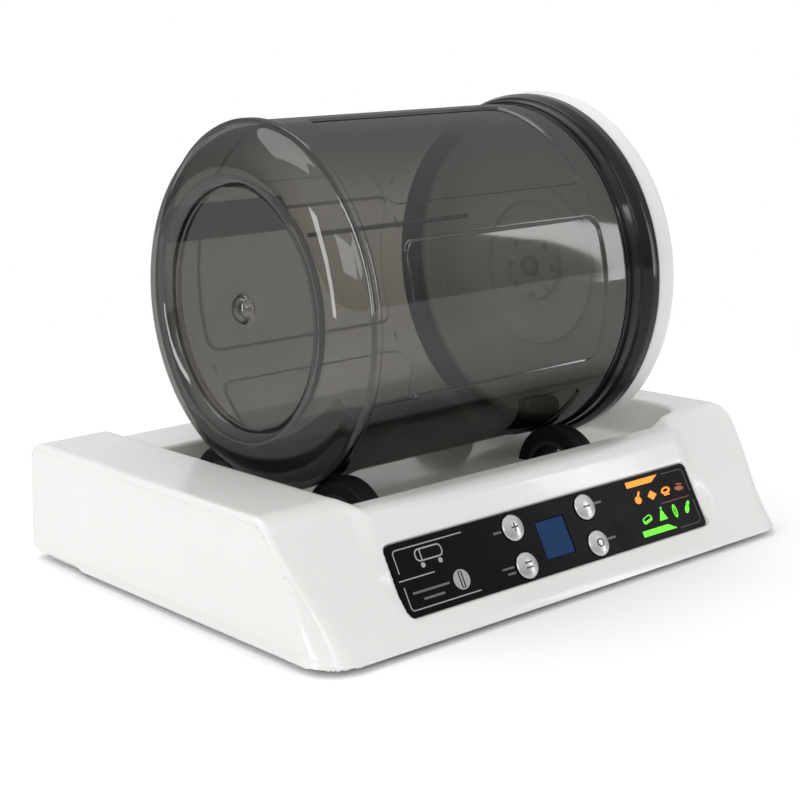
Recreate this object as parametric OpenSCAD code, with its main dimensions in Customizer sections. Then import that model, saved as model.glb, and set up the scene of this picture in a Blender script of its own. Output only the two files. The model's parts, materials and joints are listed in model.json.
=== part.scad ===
// Tumbling machine: a smoked drum lies on four rubber rollers in a low tray-like base.
// Frame: origin at the bottom centre, +X along the drum axis to the lid, -Y to the control panel, +Z up.
// Lengths are in millimetres, angles in degrees.

/* [Drum] */
// Radius of the smooth drum wall that the rollers carry
drum_r = 93.5; // [80:0.5:110]
// Wall thickness of the drum
drum_wall = 2.5; // [1.5:0.1:4]
// Length from the guide bead to the open mouth
drum_len = 186; // [150:1:230]
// Height of the drum axis above the table
axis_z = 145.5; // [120:0.5:170]
// Position of the guide bead along the base
bead_x = -89.3; // [-110:0.1:-70]
// Radius of the rounded closed end
end_corner_r = 22; // [10:1:35]
// Depth of the window recesses in the wall
window_depth = 1.3; // [0.5:0.1:1.6]
// Height of the paddles inside the drum
paddle_h = 22; // [8:1:30]
// Length of the paddles inside the drum
paddle_len = 84; // [40:1:150]

/* [Lid] */
// Outer radius of the lid rim
lid_r = 99.3; // [90:0.1:110]
// Radius of the valve housing on the lid
hub_r = 21; // [12:1:35]

/* [Base] */
// Length of the housing along the drum
base_l = 325; // [280:1:380]
// Depth of the housing at the table
base_w = 274; // [240:1:320]
// Height of the two end blocks above the table
block_z = 66.2; // [55:0.1:80]
// Height of the front and rear rails above the table
rail_z = 61; // [50:0.1:75]
// Height of the tray floor under the drum
tray_z = 42; // [38:0.5:50]
// Wall thickness of the mouldings
wall = 2.4; // [1.6:0.1:4]
// Height of the rubber feet
foot_h = 3; // [2:0.5:6]

/* [Rollers] */
// Radius of a roller tyre
roller_r = 28; // [20:0.5:32]
// Width of a roller
roller_w = 12; // [8:1:18]
// Angle of each roller from straight below the drum
roller_ang = 25; // [20:0.5:40]
// Radius of the roller shafts
shaft_r = 3; // [2:0.1:5]

/* [Panel] */
// Length of the control panel
panel_l = 212; // [150:1:240]
// Height of the control panel along the slope
panel_h = 36; // [25:1:50]
// Radius of a push button
button_r = 6.8; // [4:0.1:9]

/* [Hidden] */
$fn = 96;
run_gap = 0.05;

half_l = base_l / 2;
half_w = base_w / 2;
roller_dist = drum_r + roller_r;
roller_y = roller_dist * sin(roller_ang);
roller_z = axis_z - roller_dist * cos(roller_ang);
hub_tyre_r = 20;
left_roller_x = bead_x + 7.4;
right_roller_x = bead_x + 158;

// Side profile of the end blocks
front_foot_y = -half_w;
front_top_y = -92;
rear_top_y = half_w - 8;
front_round = 28;
rear_round = 10;
// Side profile of the lower rail that carries the panel, steeper than the blocks
slope_ang = 62;
rail_foot_y = front_foot_y + 6;
rail_top_y = rail_foot_y + (rail_z - foot_h) / tan(slope_ang);
rail_round = 16;
rail_wall = 3.6;
flare_h = 8.5;
// Half length of the rails; a sloping shoulder joins them to the blocks
rail_half_l = 108;
shoulder_ang = 52;
// Rounding of the four upright corners
plan_corner = 24;

// Tray that the drum lies in
tray_x0 = -114;
tray_x1 = 140.6;
tray_y = 83.5;
tray_corner_l = 2;
tray_corner_r = 28;
// The end blocks meet the two rails at this distance from the middle
block_seam = 112;

// Control panel centre, measured along the base and up the slope from its foot
panel_x = 0;
panel_s = 29.4;
panel_t = 2;
panel_in = 1.7;
panel_corner = 3;
button_travel = 1.2;
button_dome = 2.6;
stem_r = 3.2;
stem_len = 7;
board_gap = 10.4;
board_t = 1.6;
board_screw_x = [-73, 41];
switch_gap = 0.15;
lcd_size = 19.8;
lcd_at = [-1.8, -0.8];
plus_at = [-27, 9.6];
mode_at = [-26.6, -10.2];
minus_at = [24, 9.6];
start_at = [24.3, -10.2];
button_at = [plus_at, mode_at, minus_at, start_at];
lamp_window_at = [78, 0];

collar_x0 = bead_x + 169;
collar_x1 = bead_x + 190;
mouth_x = bead_x + drum_len;
neck_r = drum_r - 1.5;
bead_r = drum_r + 1.5;
recess_r = 62.2;
lid_x = bead_x + 193;
lid_t = 2.6;
valve_r = 13;

motor_r = 25;
motor_shaft_r = 2.5;
motor_x0 = -157.5;
motor_len = 20;
bearing_x = [-122, 150];
front_shaft_x0 = -129.5;
bearing_w = 7;
bush_r = 5.5;
boss_at = [[-142, 98], [142, 98], [-146, -104], [146, -104], [-60, 108], [60, 108], [-60, -92], [60, -92]];
foot_at = [[-138, 84], [138, 84], [-138, -84], [138, -84]];

// Angles of the wall windows and of the ribs that carry paddles, from the front upwards
window_pitch = 60;
window_phase = -1;
window_half_ang = 24;
window_x0 = bead_x + 21;
window_x1 = bead_x + 153;

// ---------- helpers ----------

function unit(v) = v / norm(v);

// Convex polygon whose corners are rounded with true arcs
module round_poly(pts, rads) {
    n = len(pts);
    difference() {
        polygon(pts);
        for (i = [0:n - 1]) if (rads[i] > 0)
            corner_cut(pts[i], pts[(i + n - 1) % n], pts[(i + 1) % n], rads[i]);
    }
    for (i = [0:n - 1]) if (rads[i] > 0) corner_disc(pts[i], pts[(i + n - 1) % n], pts[(i + 1) % n], rads[i]);
}

// The same polygon with straight bevels in place of the arcs
module bevel_poly(pts, rads) {
    n = len(pts);
    difference() {
        polygon(pts);
        for (i = [0:n - 1]) if (rads[i] > 0)
            corner_bevel(pts[i], pts[(i + n - 1) % n], pts[(i + 1) % n], rads[i]);
    }
}

function corner_half(p, a, b) = acos(unit(a - p) * unit(b - p)) / 2;
function corner_mid(p, a, b, r) = p + unit(unit(a - p) + unit(b - p)) * r / sin(corner_half(p, a, b));

module corner_cut(p, a, b, r) {
    tangent = r / tan(corner_half(p, a, b));
    out = p - unit(unit(a - p) + unit(b - p));
    polygon([out, p + unit(a - p) * tangent, corner_mid(p, a, b, r), p + unit(b - p) * tangent]);
}

module corner_bevel(p, a, b, r) {
    tangent = r / tan(corner_half(p, a, b));
    out = p - unit(unit(a - p) + unit(b - p));
    polygon([out, p + unit(a - p) * tangent, p + unit(b - p) * tangent]);
}

module corner_disc(p, a, b, r) {
    translate(corner_mid(p, a, b, r)) circle(r);
}

// Rectangle with rounded corners, centred
module round_rect(w, h, r) {
    square([w - 2 * r, h], center = true);
    square([w, h - 2 * r], center = true);
    for (sx = [-1, 1], sy = [-1, 1]) translate([sx * (w / 2 - r), sy * (h / 2 - r)]) circle(r);
}

// Extrudes a (y, z) profile along X from x0 to x1
module along_x(x0, x1) {
    translate([x0, 0, 0]) rotate([90, 0, 90]) linear_extrude(x1 - x0) children();
}

// Places a piece that was drawn about Z onto the drum axis, with Z turned to +X
module on_axis(x) {
    translate([x, 0, axis_z]) rotate([0, 90, 0]) children();
}

// Places a piece that was drawn about Z onto a roller shaft; side is -1 at the front, +1 at the rear
module on_shaft(side, x) {
    translate([x, side * roller_y, roller_z]) rotate([0, 90, 0]) children();
}

// Turns a piece drawn at local -X to an angle measured from the front upwards
module at_angle(a) {
    rotate([0, 0, 270 - a]) children();
}

// Panel frame: X along the base, Y up the slope, Z out of the panel; origin on the rail surface
module on_panel() {
    translate([panel_x, rail_foot_y, foot_h]) rotate([slope_ang, 0, 0]) translate([0, panel_s, 0]) children();
}

module tube(r_out, r_in, h) {
    difference() {
        cylinder(r = r_out, h = h);
        translate([0, 0, -1]) cylinder(r = r_in, h = h + 2);
    }
}

// ---------- base mouldings ----------

module block_profile() {
    round_poly([[front_foot_y, foot_h], [half_w, foot_h], [rear_top_y, block_z], [front_top_y, block_z]],
               [0, 0, rear_round, front_round]);
}

module block_inner() {
    bevel_poly([[front_foot_y + wall * 1.2, foot_h - 1], [half_w - wall, foot_h - 1],
                [rear_top_y - wall, block_z - wall], [front_top_y + wall * 0.5, block_z - wall]],
               [0, 0, rear_round - wall, front_round - wall]);
}

module rail_profile() {
    round_poly([[rail_foot_y, foot_h], [half_w, foot_h], [rear_top_y + 0.5, rail_z], [rail_top_y, rail_z]],
               [0, 0, rear_round, rail_round]);
}

module rail_inner() {
    front = rail_wall / sin(slope_ang);
    bevel_poly([[rail_foot_y + front, foot_h - 1], [half_w - wall, foot_h - 1],
                [rear_top_y + 0.5 - wall, rail_z - wall], [rail_top_y + front, rail_z - wall]],
               [0, 0, rear_round - wall, rail_round - rail_wall]);
}

module plan(inset) {
    translate([0, 0, foot_h - 2]) linear_extrude(block_z)
        round_rect(base_l - 2 * inset, base_w - 2 * inset, plan_corner - (inset > 0 ? 4 : 0));
}

// Everything on the +X side of a plane that leans outwards with height
module beyond_shoulder() {
    translate([rail_half_l, 0, 0]) rotate([0, shoulder_ang, 0])
        translate([0, -base_l, -base_l]) cube(2 * base_l);
}

// Right-hand end block with a sloping shoulder down to the rails
module end_block() {
    intersection() {
        along_x(rail_half_l - 10, half_l) block_profile();
        translate([0, 0, rail_z - 0.6]) beyond_shoulder();
        translate([0, rail_foot_y, foot_h]) rotate([slope_ang, 0, 0]) translate([0, 0, -0.6]) beyond_shoulder();
    }
}

module base_solid() {
    intersection() {
        union() {
            along_x(-rail_half_l - 6, rail_half_l + 6) rail_profile();
            // the rail flares out again to the foot of the blocks
            along_x(-rail_half_l - 6, rail_half_l + 6)
                polygon([[front_foot_y, foot_h], [rail_foot_y + flare_h / tan(slope_ang), foot_h + flare_h],
                         [rail_foot_y + 20, foot_h]]);
            end_block();
            mirror([1, 0, 0]) end_block();
        }
        plan(0);
    }
}

module base_hollow() {
    block_in = rail_half_l + 12;
    intersection() {
        union() {
            along_x(-block_in - 1, block_in + 1) rail_inner();
            along_x(-half_l, -block_in) block_inner();
            along_x(block_in, half_l) block_inner();
        }
        plan(wall);
    }
}

module tray_block(grow) {
    x0 = tray_x0 - grow;
    x1 = tray_x1 + grow;
    y1 = tray_y + grow;
    translate([0, 0, tray_z - grow]) linear_extrude(block_z)
        round_poly([[x0, -y1], [x1, -y1], [x1, y1], [x0, y1]],
                   [tray_corner_l + grow, tray_corner_r + grow, tray_corner_r + grow, tray_corner_l + grow]);
}

module roller_slot(side, x) {
    translate([x - roller_w / 2 - 1.5, side * roller_y - roller_r, roller_z])
        cube([roller_w + 3, 2 * roller_r, block_z]);
}

// White shell of the whole base, before it is parted into blocks and rails
module housing_shell() {
    difference() {
        union() {
            difference() {
                base_solid();
                base_hollow();
            }
            intersection() {
                base_solid();
                tray_block(wall);
            }
            for (p = boss_at) translate([p[0], p[1], 9]) intersection() {
                cylinder(r = 4.5, h = block_z - 10);
                translate([-p[0], -p[1], -9]) base_solid();
            }
            // posts behind the panel for the board
            on_panel() for (x = board_screw_x) translate([x, 0, -board_gap])
                cylinder(r = 3.4, h = board_gap - 3);
        }
        tray_block(0);
        tray_floor(2);
        for (p = boss_at) translate([p[0], p[1], 8]) cylinder(r = 1.5, h = 14);
        // recessed faces on both ends
        for (s = [-1, 1]) along_x(s < 0 ? -half_l - 1 : half_l - 1.1, s < 0 ? -half_l + 1.1 : half_l + 1)
            end_recess();
        // seat and openings for the control panel
        on_panel() {
            translate([0, 0, -panel_in]) linear_extrude(6)
                round_rect(panel_l + 0.6, panel_h + 0.6, panel_corner + 0.3);
            for (p = button_at) translate([p[0], p[1], -8]) cylinder(r = button_r + 0.6, h = 10);
            translate([lcd_at[0], lcd_at[1], -4]) cube([lcd_size + 3, lcd_size + 3, 12], center = true);
            translate([lamp_window_at[0], lamp_window_at[1], -4]) cube([44, 30, 12], center = true);
            for (x = board_screw_x) translate([x, 0, -board_gap - 1]) cylinder(r = 1.5, h = board_gap - 1.4);
        }
        // hole for the power socket in the rear wall
        translate([-138, half_w - 20, 24]) rotate([-90, 0, 0]) cylinder(r = 6.1, h = 30);
    }
}

// Slice of the shell between two places along the base, on one side of the drum or on both
module shell_slice(x0, x1, y0, y1) {
    color("white") intersection() {
        housing_shell();
        translate([x0, y0, 0]) cube([x1 - x0, y1 - y0, 2 * block_z]);
    }
}

module left_block() {
    shell_slice(-base_l, -block_seam, -base_w, base_w);
}

module right_block() {
    shell_slice(block_seam, base_l, -base_w, base_w);
}

module front_rail() {
    shell_slice(-block_seam, block_seam, -base_w, 0);
}

module rear_rail() {
    shell_slice(-block_seam, block_seam, 0, base_w);
}

// Flat floor of the tray; spare is extra depth below it
module tray_floor(spare) {
    translate([0, 0, tray_z - wall - spare]) linear_extrude(wall + spare)
        round_poly([[tray_x0, -tray_y], [tray_x1, -tray_y], [tray_x1, tray_y], [tray_x0, tray_y]],
                   [tray_corner_l, tray_corner_r, tray_corner_r, tray_corner_l]);
}

// Floor under the drum, open at the rollers
module drum_tray() {
    color("white") difference() {
        tray_floor(0);
        for (s = [-1, 1], x = [left_roller_x, right_roller_x]) roller_slot(s, x);
    }
}

module end_recess() {
    round_poly([[front_foot_y + 18, foot_h + 7], [half_w - 14, foot_h + 7],
                [rear_top_y - 8, block_z - 5], [front_top_y - 0.5, block_z - 5]],
               [8, 8, 8, 22]);
}

module bottom_cover() {
    color("gainsboro") difference() {
        union() {
            translate([0, 0, foot_h]) linear_extrude(wall) difference() {
                round_rect(base_l - 2 * wall - 1.4, base_w - 2 * wall - 3, 20);
                translate([-half_l, -half_w - 20]) square([base_l, 25.7]);
                translate([-rail_half_l - 13.5, -half_w - 20]) square([2 * rail_half_l + 27, 32.4]);
            }
            for (p = boss_at) translate([p[0], p[1], foot_h]) cylinder(r = 4.4, h = 5.9);
        }
        for (p = boss_at) translate([p[0], p[1], 0]) {
            cylinder(r = 1.9, h = 20);
            cylinder(r = 3.4, h = foot_h + 2.6);
        }
        for (x = [-12:8:60]) translate([x, 0, 0]) linear_extrude(20) round_rect(3, 44, 1.4);
        for (p = foot_at) translate([p[0], p[1], 0]) cylinder(r = 3.05, h = 20);
    }
}

module rubber_feet() {
    color("dimgray") for (p = foot_at) translate([p[0], p[1], 0]) {
        cylinder(r1 = 8.4, r2 = 9, h = foot_h);
        cylinder(r = 3, h = foot_h + wall);
        translate([0, 0, foot_h + wall]) cylinder(r1 = 4.2, r2 = 2.6, h = 2);
    }
}

module cover_screws() {
    color("silver") for (p = boss_at) translate([p[0], p[1], foot_h + 0.6]) difference() {
        union() {
            cylinder(r = 3, h = 2);
            cylinder(r = 1.5, h = 13);
        }
        for (a = [0, 90]) rotate([0, 0, a]) cube([3.6, 0.8, 2], center = true);
    }
}

// ---------- roller drive ----------

module bearing_blocks() {
    color("whitesmoke") for (s = [-1, 1], x = bearing_x) translate([x - bearing_w / 2, s * roller_y, 0])
    difference() {
        union() {
            translate([0, -9, foot_h + wall]) cube([bearing_w, 18, roller_z - foot_h - wall]);
            translate([0, -15, foot_h + wall]) cube([bearing_w, 30, 4]);
            translate([0, 0, roller_z]) rotate([0, 90, 0]) cylinder(r = 9, h = bearing_w);
        }
        translate([-1, 0, roller_z]) rotate([0, 90, 0]) cylinder(r = bush_r, h = bearing_w + 2);
    }
}

module bearing_bushes() {
    color("peru") for (s = [-1, 1], x = bearing_x) on_shaft(s, x - bearing_w / 2) difference() {
        union() {
            cylinder(r = bush_r, h = bearing_w);
            translate([0, 0, bearing_w]) cylinder(r = bush_r + 1.4, h = 1);
        }
        translate([0, 0, -1]) cylinder(r = shaft_r + run_gap, h = bearing_w + 4);
    }
}

module shaft_at(side, x0, x1) {
    on_shaft(side, x0) cylinder(r = shaft_r, h = x1 - x0);
}

module roller_hubs(side) {
    for (x = [left_roller_x, right_roller_x]) on_shaft(side, x - roller_w / 2) difference() {
        union() {
            tube(hub_tyre_r, hub_tyre_r - 2.4, roller_w);
            cylinder(r = 6.5, h = roller_w);
            translate([0, 0, roller_w / 2 - 1]) cylinder(r = hub_tyre_r - 1, h = 2);
        }
        translate([0, 0, -1]) cylinder(r = shaft_r, h = roller_w + 2);
        for (a = [0:60:300]) rotate([0, 0, a]) translate([12, 0, 0]) cylinder(r = 3, h = roller_w);
    }
}

module roller_tyres(side) {
    for (x = [left_roller_x, right_roller_x]) on_shaft(side, x - roller_w / 2) rotate_extrude() difference() {
        round_poly([[hub_tyre_r, 0], [roller_r, 0], [roller_r, roller_w], [hub_tyre_r, roller_w]], [0, 1.6, 1.6, 0]);
        translate([roller_r, roller_w / 2]) circle(r = 0.8, $fn = 4);
    }
}

module front_shaft() {
    color("silver") shaft_at(-1, front_shaft_x0, bearing_x[1] + bearing_w / 2 + 3);
}

module shaft_coupling() {
    color("gold") on_shaft(-1, -136.4) difference() {
        cylinder(r = 6.5, h = 10.6);
        translate([0, 0, -1]) cylinder(r = motor_shaft_r, h = 8);
        translate([0, 0, 5.4]) cylinder(r = shaft_r, h = 8);
        translate([0, 0, 8]) rotate([0, 90, 0]) cylinder(r = 1.2, h = 10);
    }
}

module front_roller_hubs() {
    color("dimgray") roller_hubs(-1);
}

module front_roller_tyres() {
    color("black") roller_tyres(-1);
}

module rear_shaft() {
    color("silver") shaft_at(1, bearing_x[0] - bearing_w / 2 - 3, bearing_x[1] + bearing_w / 2 + 3);
}

module rear_roller_hubs() {
    color("dimgray") roller_hubs(1);
}

module rear_roller_tyres() {
    color("black") roller_tyres(1);
}

module gear_motor() {
    color("silver") {
        on_shaft(-1, motor_x0) {
            cylinder(r = motor_r, h = motor_len - 3);
            translate([0, 0, motor_len - 3]) tube(motor_r - 2, motor_shaft_r + run_gap, 3);
        }
        for (s = [-1, 1]) translate([motor_x0 + motor_len - 4.2, -roller_y + s * 29, roller_z]) rotate([0, 90, 0])
            difference() {
                union() {
                    cylinder(r = 5, h = 1.2);
                    translate([-5, s > 0 ? -8 : 0, 0]) cube([10, 8, 1.2]);
                }
                translate([0, 0, -1]) cylinder(r = 1.8, h = 4);
            }
    }
}

module motor_shaft() {
    color("silver") on_shaft(-1, motor_x0 + motor_len - 2.8) cylinder(r = motor_shaft_r, h = 10.5);
}

module motor_bracket() {
    color("gainsboro") difference() {
        union() {
            translate([motor_x0 + motor_len - 3, -roller_y - 34, foot_h + wall]) cube([2, 68, 40]);
            translate([motor_x0 + motor_len - 3, -roller_y - 34, foot_h + wall]) cube([9, 68, 2]);
        }
        on_shaft(-1, motor_x0) cylinder(r = motor_r - 1.7, h = 40);
        for (s = [-1, 1]) translate([motor_x0, -roller_y + s * 29, roller_z]) rotate([0, 90, 0])
            cylinder(r = 1.5, h = 40);
        translate([motor_x0, -roller_y - 24, roller_z]) cube([40, 48, 40]);
        translate([foot_at[2][0], foot_at[2][1], 0]) cylinder(r = 5, h = 9);
    }
}

module motor_screws() {
    color("silver") for (s = [-1, 1]) translate([motor_x0 + motor_len - 6, -roller_y + s * 29, roller_z])
        rotate([0, 90, 0]) {
            cylinder(r = 2.8, h = 1.8);
            cylinder(r = 1.5, h = 6.5);
        }
}

module dc_socket() {
    color("black") translate([-138, 0, 24]) rotate([-90, 0, 0]) difference() {
        union() {
            translate([0, 0, 112]) cylinder(r = 6, h = 22);
            translate([0, 0, 112]) cylinder(r = 8, h = 18);
        }
        translate([0, 0, 122]) tube(2.75, 1, 20);
    }
}

// ---------- control panel ----------

module control_panel() {
    color("black") on_panel() difference() {
        translate([0, 0, -panel_in]) linear_extrude(panel_t) round_rect(panel_l, panel_h, panel_corner);
        for (p = button_at) translate([p[0], p[1], -4]) cylinder(r = button_r + 0.3, h = 8);
        translate([lcd_at[0], lcd_at[1], 0]) cube([lcd_size, lcd_size, 8], center = true);
        translate([0, 0, -0.4]) linear_extrude(2) {
            orange_shapes();
            green_shapes();
        }
    }
}

// Small signs: a bar and four simple food shapes in each group
module orange_shapes() {
    translate([58, 12.6]) polygon([[0, 0], [19, 0], [25, 3.2], [0, 3.2]]);
    translate([63, 5]) circle(2.4);
    translate([64.4, 7.4]) rotate(40) square([1.4, 4], center = true);
    translate([74, 5.8]) polygon([[-3.6, 0], [0, 2.4], [3.6, 0], [0, -2.4]]);
    translate([85, 5.8]) round_rect(7, 3.6, 1.7);
    translate([95.5, 5.8]) round_rect(6, 2.6, 1.2);
}

module green_shapes() {
    translate([57.5, -14.6]) polygon([[0, 0], [26, 0], [20, 3.2], [0, 3.2]]);
    translate([64.3, -5.6]) rotate(15) round_rect(7.4, 4, 1.6);
    translate([76, -6.6]) polygon([[-3.2, -2], [3.2, -2], [0.6, 3.6]]);
    translate([86.3, -5.8]) round_rect(3, 7, 1.45);
    translate([96.4, -5.6]) rotate(-35) round_rect(2.6, 6.6, 1.25);
}

module orange_indicators() {
    color("orange") on_panel() translate([0, 0, -0.4]) linear_extrude(0.75) orange_shapes();
}

module green_indicators() {
    color("limegreen") on_panel() translate([0, 0, -0.4]) linear_extrude(0.75) green_shapes();
}

module lcd_display() {
    color("navy") on_panel() translate([lcd_at[0], lcd_at[1], 0]) {
        translate([0, 0, -2.6]) cube([lcd_size - 0.4, lcd_size - 0.4, 5], center = true);
        translate([0, 0, -7.1]) cube([lcd_size + 2, lcd_size + 2, 4], center = true);
    }
}

module control_board() {
    color("darkgreen") on_panel() difference() {
        translate([12, 0, -board_gap - board_t / 2]) cube([180, 30, board_t], center = true);
        for (x = board_screw_x) translate([x, 0, -30]) cylinder(r = 1.6, h = 60);
    }
}

module board_screws() {
    color("silver") on_panel() for (x = board_screw_x) translate([x, 0, -board_gap - board_t]) {
        translate([0, 0, -1.6]) cylinder(r = 2.8, h = 1.6);
        cylinder(r = 1.5, h = board_gap + board_t - panel_in - 0.8);
    }
}

module key_switches() {
    color("dimgray") on_panel() for (p = button_at) translate([p[0], p[1], -board_gap]) {
        translate([-3, -3, 0]) cube([6, 6, 1.8]);
        cylinder(r = 1.7, h = board_gap - stem_len - button_travel - switch_gap);
    }
}

// Domed cap with a stem; the mark is a shallow sign pressed into the cap
module button_cap(p, mark) {
    color("silver") on_panel() translate([p[0], p[1], 0]) difference() {
        union() {
            intersection() {
                translate([0, 0, button_dome - 18]) sphere(r = 18);
                translate([0, 0, -1.2]) cylinder(r = button_r, h = 6);
            }
            translate([0, 0, -stem_len]) cylinder(r = stem_r, h = stem_len);
        }
        translate([0, 0, button_dome - 0.5]) linear_extrude(2) button_mark(mark);
    }
}

module button_mark(mark) {
    if (mark == "plus" || mark == "minus") square([4.4, 0.9], center = true);
    if (mark == "plus") square([0.9, 4.4], center = true);
    if (mark == "mode") for (y = [-1.3, 1.3]) translate([0, y]) square([4.4, 0.9], center = true);
    if (mark == "start") difference() {
        circle(2.4);
        circle(1.5);
    }
}

module button_plus() {
    button_cap(plus_at, "plus");
}

module button_minus() {
    button_cap(minus_at, "minus");
}

module button_mode() {
    button_cap(mode_at, "mode");
}

module button_start() {
    button_cap(start_at, "start");
}

// ---------- drum ----------

// Outline of the drum in (radius, distance from the bead); t is how far it is drawn in
module drum_outline(t) {
    centre_r = drum_r - end_corner_r;
    centre_x = 2.5;
    translate([0, centre_x - end_corner_r + t]) square([centre_r, drum_len]);
    translate([centre_r, centre_x]) intersection() {
        circle(end_corner_r - t);
        translate([0, -60]) square([60, 61]);
    }
    translate([0, centre_x]) square([drum_r - t, drum_len - centre_x + (t > 0 ? 1 : 0)]);
}

module drum_shell() {
    color([0.35, 0.35, 0.33, 0.5]) on_axis(bead_x) difference() {
        union() {
            rotate_extrude() intersection() {
                difference() {
                    drum_outline(0);
                    drum_outline(drum_wall);
                }
                translate([0, -40]) square([200, drum_len + 40]);
            }
            // floor of the round recess in the closed end
            translate([0, 0, -19.5]) cylinder(r = 64.8, h = 9.2);
            // guide bead
            translate([0, 0, -5]) rotate_extrude()
                round_poly([[drum_r - 1.5, 0], [bead_r, 0], [bead_r, 5], [drum_r - 1.5, 5]], [0, 1.2, 1.2, 0]);
        }
        // outer recess, with a bevelled lip
        translate([0, 0, -30]) cylinder(r = recess_r, h = 17.2);
        translate([0, 0, -19.6]) cylinder(r1 = recess_r + 4, r2 = recess_r - 0.1, h = 3.4);
        // narrower neck for the collar
        translate([0, 0, collar_x0 - bead_x]) tube(drum_r + 2, neck_r, drum_len);
        for (i = [0:5]) at_angle(window_phase + i * window_pitch) window_cut();
    }
    color([0.35, 0.35, 0.33, 0.5]) on_axis(bead_x - 12.8) intersection() {
        translate([0, 0, 5]) sphere(r = 10.2);
        translate([0, 0, -6]) cylinder(r = 7, h = 6.4);
    }
}

module window_cut() {
    intersection() {
        tube(drum_r + 2, drum_r - window_depth, 200);
        translate([20, 0, (window_x0 + window_x1) / 2 - bead_x]) rotate([0, 90, 0]) linear_extrude(100)
            round_rect(window_x1 - window_x0, 2 * drum_r * sin(window_half_ang), 7);
    }
}

// Three lifting paddles on every second rib
module drum_paddles() {
    color([0.15, 0.15, 0.15, 0.8]) on_axis(bead_x) for (i = [0:2]) at_angle(window_phase + 30 + i * 120)
        intersection() {
            translate([drum_r - drum_wall - paddle_h, -1.1, -15]) cube([paddle_h + 3, 2.2, paddle_len]);
            rotate_extrude() drum_outline(drum_wall);
        }
}

module mouth_collar() {
    color("black") on_axis(collar_x0) rotate_extrude() difference() {
        union() {
            translate([neck_r + run_gap, 0.3]) square([1.2, 20.7]);
            translate([neck_r + run_gap, 3]) square([3, 18]);
            translate([neck_r + 1, 9]) round_poly([[0, 0], [3.6, 0], [5.2, 6], [5.2, 12], [0, 12]], [0, 1.4, 3, 1.4, 0]);
        }
        translate([neck_r - 5, -1]) square([5 + run_gap, 40]);
    }
}

// ---------- lid ----------

module lid() {
    color("white") on_axis(0) rotate_extrude() difference() {
        union() {
            // rim that meets the collar
            translate([84, collar_x1 + 0.3])
                round_poly([[0, 0], [13, 0], [lid_r - 84, 8.5], [11, 14], [0, 16]], [0, 1.2, 2.4, 4, 0]);
            // face
            translate([0, lid_x]) square([88, lid_t]);
            // plug ring that enters the mouth
            translate([84, mouth_x - 4.5]) square([3.4, 12]);
            // raised band on the inside
            translate([38, lid_x - 2.6]) square([8, 3]);
            // step and sleeve on the outside
            translate([72, lid_x]) square([6, 8]);
            translate([0, lid_x]) square([hub_r, 9]);
        }
        translate([-1, lid_x - 20]) square([valve_r + 1.1, 60]);
    }
}

module lid_gasket() {
    color("dimgray") on_axis(mouth_x - 3.2) rotate_extrude()
        round_poly([[87.4, 0], [90.7, 0], [90.7, 2.6], [87.4, 2.6]], [0, 0.9, 0.9, 0]);
}

module screw_circle(z) {
    for (a = [0:45:315]) rotate([0, 0, a]) translate([17.2, 0, z]) children();
}

module valve_housing() {
    color("lightgray") on_axis(lid_x - 4) difference() {
        union() {
            cylinder(r1 = hub_r - 1.2, r2 = hub_r, h = 4);
            cylinder(r = valve_r, h = 14);
        }
        translate([0, 0, 5]) cylinder(r = 9.3, h = 20);
        translate([0, 0, -1]) cylinder(r = 2.3, h = 20);
        screw_circle(-1) cylinder(r = 1.2, h = 8);
    }
}

module hub_screws() {
    color("silver") on_axis(lid_x - 4) screw_circle(-0.8) {
        cylinder(r = 2, h = 0.8);
        cylinder(r = 1.2, h = 4.8);
    }
}

module valve_seal() {
    color("dimgray") on_axis(lid_x - 6.1) tube(6, 2.2, 2);
}

module valve_button() {
    color("silver") on_axis(lid_x - 6.1) {
        cylinder(r = 2.2, h = 12);
        translate([0, 0, 10.3]) cylinder(r = 9, h = 7);
    }
}

left_block();
right_block();
front_rail();
rear_rail();
drum_tray();
bottom_cover();
rubber_feet();
cover_screws();
bearing_blocks();
bearing_bushes();
gear_motor();
motor_shaft();
motor_bracket();
motor_screws();
dc_socket();
control_panel();
control_board();
board_screws();
key_switches();
lcd_display();
orange_indicators();
green_indicators();
button_plus();
button_minus();
button_mode();
button_start();
front_shaft();
shaft_coupling();
front_roller_hubs();
front_roller_tyres();
rear_shaft();
rear_roller_hubs();
rear_roller_tyres();
mouth_collar();
drum_shell();
drum_paddles();
lid();
lid_gasket();
valve_housing();
hub_screws();
valve_seal();
valve_button();
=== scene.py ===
"""Looks of the drum tumbler: a smoked drum with a white lid, lying on rollers in a white tray base.

Lengths in this file are in millimetres unless a name ends in _m; MM turns them into metres.
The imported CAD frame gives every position: joint places, node boxes and the panel's slope.
"""

import json
import math

import bmesh
import bpy
import numpy as np
from mathutils import Matrix, Vector


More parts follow.
